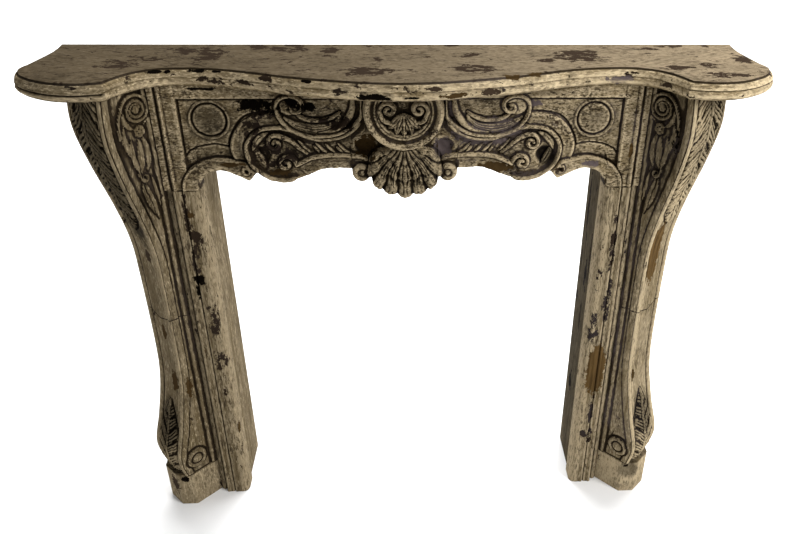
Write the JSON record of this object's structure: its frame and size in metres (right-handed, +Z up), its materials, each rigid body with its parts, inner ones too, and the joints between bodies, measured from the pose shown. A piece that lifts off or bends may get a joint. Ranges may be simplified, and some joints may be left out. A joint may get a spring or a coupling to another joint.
{
  "type": "carved fireplace mantel with shelf",
  "caption": "Carved, painted wooden fireplace mantel: serpentine moulded shelf on a scrolled frieze with shell and canted console legs.",
  "frame": {"origin": "on the floor, under the middle of the whole mantel's box", "axes": "+X to the right along the shelf, +Y back towards the wall, +Z up"},
  "size_m": [1.3684, 0.256, 1.051],
  "materials": {
    "shelf_paint": "dull grey-beige paint over dark brown, flaked in streaks",
    "carving_paint": "cream paint over dark brown, chipped and crackled, with dirt in the recesses",
    "board_paint": "thin cream paint over dark brown on plain boards, worn along the grain"
  },
  "bodies": {
    "root": {"shelf": "shelf_paint", "frieze": "carving_paint", "jamb_left": "carving_paint", "jamb_right": "carving_paint", "reveal_left": "board_paint", "reveal_right": "board_paint", "side_board_left": "board_paint", "side_board_right": "board_paint", "console_upper_left": "carving_paint", "console_upper_right": "carving_paint", "console_lower_left": "carving_paint", "console_lower_right": "carving_paint", "plinth_left": "carving_paint", "plinth_right": "carving_paint"}
  },
  "joints": []
}
